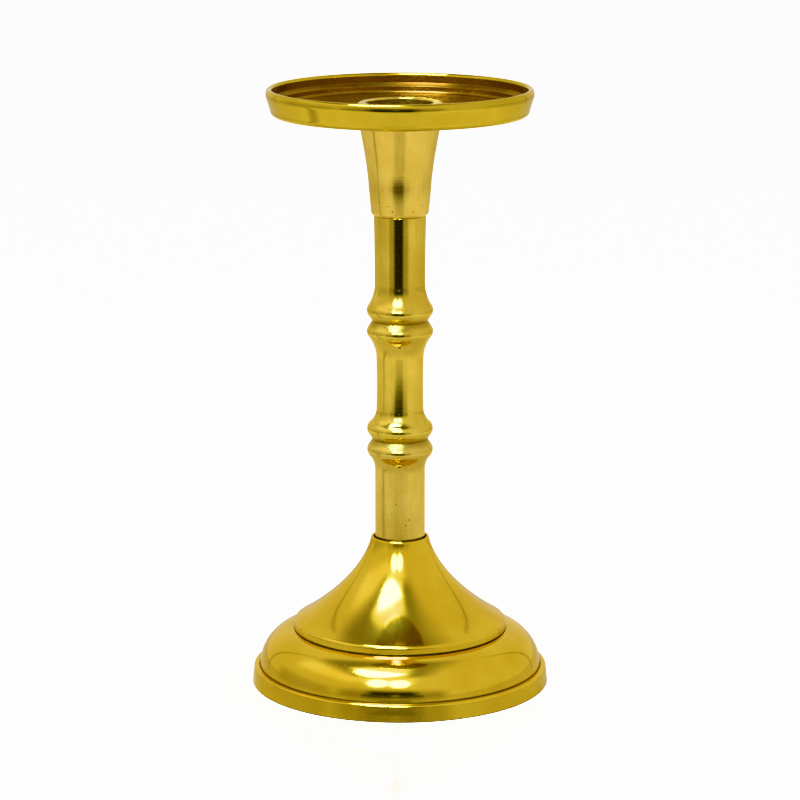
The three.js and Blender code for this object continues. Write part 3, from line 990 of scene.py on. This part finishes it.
def pale_floor(stage):
    """A glossy white sheet with a pool of lamplight, burnt out for the camera, open to the dark front."""
    material, add = new_material("white_acrylic_sheet")
    sheet = add("NewGeometry")
    place = sheet.outputs["Position"]
    ahead = add("VectorMath", {"operation": "DISTANCE", 0: place, 1: POOL}).outputs["Value"]
    around = add("VectorMath", {"operation": "LENGTH", 0: place}).outputs["Value"]
    lit = add("MapRange", {0: ahead, 1: POOL_REACH[0], 2: POOL_REACH[1]})
    clear = add("MapRange", {0: around, 1: POOL_CLEAR[0], 2: POOL_CLEAR[1]})
    pool = add("Math", {"operation": "MULTIPLY", 0: lit, 1: clear})
    pool = add("Math", {"operation": "MULTIPLY_ADD", 0: pool, 1: stage.floor_pool, 2: stage.floor_glow})
    hollow = {0: around, 1: HOLLOW_REACH[0], 2: HOLLOW_REACH[1], 4: stage.foot_glow}
    pool = add("Math", {"operation": "ADD", 0: pool, 1: add("MapRange", hollow)})
    glow = add("Emission", {"Strength": pool})
    bright = add("Emission", {"Strength": stage.backdrop_light / 2})
    seen = add("LightPath").outputs["Is Camera Ray"]
    light = add("MixShader", {0: seen, 1: glow, 2: bright})
    body = add("AddShader", {0: add("BsdfDiffuse", {"Color": MATT_WHITE}), 1: light})
    gloss = add("BsdfGlossy", {"Color": GLOSS_WHITE, "Roughness": 0.08})
    top = add("MixShader", {0: add("Fresnel", {"IOR": ACRYLIC_IOR}), 1: body, 2: gloss})
    depth = add("SeparateXYZ", {0: place}).outputs["Y"]
    front = -stage.floor_front
    gone = add("MapRange", {0: depth, 1: front + FLOOR_FADE, 2: front - FLOOR_FADE})
    gone = add("Math", {"operation": "MAXIMUM", 0: gone, 1: sheet.outputs["Backfacing"]})
    mixed = add("MixShader", {0: gone, 1: top, 2: add("BsdfTransparent")})
    add("OutputMaterial", {"Surface": mixed})
    start_clean()
    bpy.ops.mesh.primitive_plane_add(size=FLOOR_SIZE)
    set_apart("pale_floor", material, shown=True)


def soft_lamp(tint, name, place, width, depth, brightness, kept_off):
    """A soft box that burns out in the polish, cool enough not to turn orange, flagged off some pieces."""
    start_clean()
    bpy.ops.object.light_add(type="AREA", location=place, rotation=facing(place))
    lamp = bpy.context.object
    lamp.name = name
    lamp.data.color = tint[:3]
    lamp.data.shape = "RECTANGLE" if place.z >= ROOF else "ELLIPSE"
    lamp.data.size, lamp.data.size_y = width, depth
    filled = 1 if lamp.data.shape == "RECTANGLE" else math.pi / 4
    lamp.data.energy = brightness * math.pi * width * depth * filled
    lamp.visible_camera = False
    lamp.visible_diffuse = False
    flagged = bpy.data.collections.new("flagged_off_" + name)
    for thing in kept_off:
        flagged.objects.link(bpy.data.objects[thing])
    for member in flagged.collection_objects:
        member.light_linking.link_state = "EXCLUDE"
    lamp.light_linking.receiver_collection = flagged


def soft_card(name, place, width, depth, brightness, edge):
    """A card that fades out at its edges."""
    material, add = new_material(name)
    local = add("SeparateXYZ", {0: add("TexCoord").outputs["Object"]})
    fades = {"operation": "MULTIPLY"}
    for i, size in enumerate((width, depth)):
        offset = add("Math", {"operation": "ABSOLUTE", 0: local.outputs[i]})
        fade = {"interpolation_type": "SMOOTHSTEP", 0: offset, 1: 0.5, 2: 0.5 - edge / size}
        fades[i] = add("MapRange", fade)
    face = add("Emission", {"Strength": brightness})
    mixed = {0: add("Math", fades), 1: add("BsdfTransparent"), 2: face}
    add("OutputMaterial", {"Surface": add("MixShader", mixed)})
    start_clean()
    bpy.ops.mesh.primitive_plane_add(size=1, location=place, rotation=facing(place))
    bpy.context.object.scale = (width, depth, 1)
    set_apart(name, material)


def seam(name, start, end, stage):
    """A pole in a back corner of the tent, a thin dark line in the polish."""
    material, add = new_material("tent_seam")
    add("OutputMaterial", {"Surface": add("Emission", {"Strength": stage.seam_light})})
    start_clean()
    way = end - start
    bpy.ops.mesh.primitive_cylinder_add(
        vertices=16,
        radius=stage.seam_width / 2,
        depth=way.length,
        location=(start + end) / 2,
        rotation=way.to_track_quat("Z", "Y").to_euler(),
    )
    set_apart(name, material)


# Operators


class CANDLESTICK_OT_base(Operator):
    """Turn the hollow bell base"""

    bl_idname = "candlestick.base"
    bl_label = "Base"

    def execute(self, context):
        settings = context.scene.candlestick
        piece = turned_piece("bell_base", base_outline(settings.base, settings.hardware.rod_hole), settings)
        metals = polished_lacquered_brass, sand_cast_brass
        finish_piece(piece, "base_shell", "polished_brass", settings, *metals)
        rim = settings.base.foot_radius - settings.base.wall
        collar_floor = foot_of("stem_lower")
        for face in piece.data.polygons:
            covered = face.normal.z < OVERHANGS and face.center.z > MM
            if face.center.xy.length < rim and face.center.z < collar_floor:
                face.material_index = 1 if faces_inwards(face) or covered else 0
        return {"FINISHED"}


class CANDLESTICK_OT_stem(Operator):
    """Turn the three pieces of the stem"""

    bl_idname = "candlestick.stem"
    bl_label = "Stem"

    def execute(self, context):
        settings = context.scene.candlestick
        for node, outline in stem_outlines(settings.stem, settings.hardware).items():
            piece = turned_piece("turned_" + node, outline, settings)
            recipe = satin_turned_brass if node == "stem_lower" else buffed_turned_brass
            finish_piece(piece, node, "satin_brass", settings, recipe)
        return {"FINISHED"}


class CANDLESTICK_OT_cup(Operator):
    """Turn the flared cup with its candle socket"""

    bl_idname = "candlestick.cup"
    bl_label = "Cup"

    def execute(self, context):
        settings = context.scene.candlestick
        cup = settings.cup
        piece = turned_piece("flared_cup", cup_outline(settings), settings)
        finish_piece(piece, "candle_cup", "satin_brass", settings, satin_turned_brass, sand_cast_brass)
        lip = top_of("candle_cup") - cup.mouth_ease
        for face in piece.data.polygons:
            within = face.center.xy.length < cup.socket_radius and face.center.z < lip
            face.material_index = 1 if within and (face.normal.z > FACES_UP or faces_inwards(face)) else 0
        return {"FINISHED"}


class CANDLESTICK_OT_dish(Operator):
    """Turn the dish with its rounded lip"""

    bl_idname = "candlestick.dish"
    bl_label = "Dish"

    def execute(self, context):
        settings = context.scene.candlestick
        dish = settings.dish
        piece = turned_piece("flared_dish", dish_outline(dish), settings)
        metals = buffed_spun_brass, dulled_spun_brass, sand_cast_brass
        finish_piece(piece, "dish", "polished_brass", settings, *metals)
        lip = top_of("dish") - dish.lip_round
        for face in piece.data.polygons:
            inside = faces_inwards(face) or face.normal.z > FACES_UP
            # Downward faces near the stem get the dark, rough cast brass, so the underside is darker there
            if face.normal.z < FACES_DOWN and face.center.xy.length < dish.dark_underside_radius:
                face.material_index = 2
            elif inside and face.center.z < lip:
                face.material_index = 1
        return {"FINISHED"}


class CANDLESTICK_OT_hardware(Operator):
    """Make the threaded tie rod, its nuts and washers"""

    bl_idname = "candlestick.hardware"
    bl_label = "Tie rod, nuts and washers"

    def execute(self, context):
        settings = context.scene.candlestick
        hardware = settings.hardware
        steel = "zinc_steel", settings, zinc_plated_steel
        finish_piece(threaded_rod(hardware), "tie_rod", *steel)
        for node in ("cup_nut", "base_nut"):
            finish_piece(hexagon_nut(node, hardware), node, *steel)
        for node, opening in (("base_washer", 0), ("lock_washer", hardware.lock_split)):
            finish_piece(punched_washer(node, hardware, opening), node, *steel)
        return {"FINISHED"}


class CANDLESTICK_OT_stage(Operator):
    """Set the floor, the studio light and the camera"""

    bl_idname = "candlestick.stage"
    bl_label = "Stage"

    def execute(self, context):
        stage = context.scene.candlestick.stage
        context.scene.view_settings.view_transform = "Khronos PBR Neutral"
        white_surround(context.scene, stage)
        pale_floor(stage)
        for name, sizes in LAMPS.items():
            soft_lamp(stage.daylight, name, *sizes)
        for name, sizes in CARDS.items():
            soft_card(name, *sizes)
        for name, ends in SEAMS.items():
            seam(name, *ends, stage)
        bpy.ops.object.camera_add(
            location=(0, -stage.camera_distance, stage.camera_height),
            rotation=(UP - stage.camera_pitch, 0, 0),
        )
        camera = bpy.context.object
        camera.name = "product_camera"
        camera.data.lens = stage.lens
        camera.data.sensor_width = SENSOR
        context.scene.camera = camera
        return {"FINISHED"}


class CANDLESTICK_PT_sidebar(Panel):
    """The candlestick's pieces in the order in which they are made"""

    bl_label = "Candlestick"
    bl_idname = "CANDLESTICK_PT_sidebar"
    bl_space_type = "VIEW_3D"
    bl_region_type = "UI"
    bl_category = "Candlestick"

    def draw(self, context):
        for operator in OPERATORS:
            self.layout.operator(operator.bl_idname)


SIZES = (BaseSizes, StemSizes, CupSizes, DishSizes, HardwareSizes)
PROPERTIES = (*SIZES, BrassFinish, StageSetting, CandlestickSettings)
OPERATORS = (
    CANDLESTICK_OT_base,
    CANDLESTICK_OT_stem,
    CANDLESTICK_OT_cup,
    CANDLESTICK_OT_dish,
    CANDLESTICK_OT_hardware,
    CANDLESTICK_OT_stage,
)
CLASSES = (*PROPERTIES, *OPERATORS, CANDLESTICK_PT_sidebar)


def register():
    for cls in CLASSES:
        bpy.utils.register_class(cls)
    bpy.types.Scene.candlestick = PointerProperty(type=CandlestickSettings)


def unregister():
    del bpy.types.Scene.candlestick
    for cls in reversed(CLASSES):
        bpy.utils.unregister_class(cls)


def main():
    register()
    for operator in OPERATORS:
        group, name = operator.bl_idname.split(".")
        getattr(getattr(bpy.ops, group), name)()


if __name__ == "__main__":
    main()
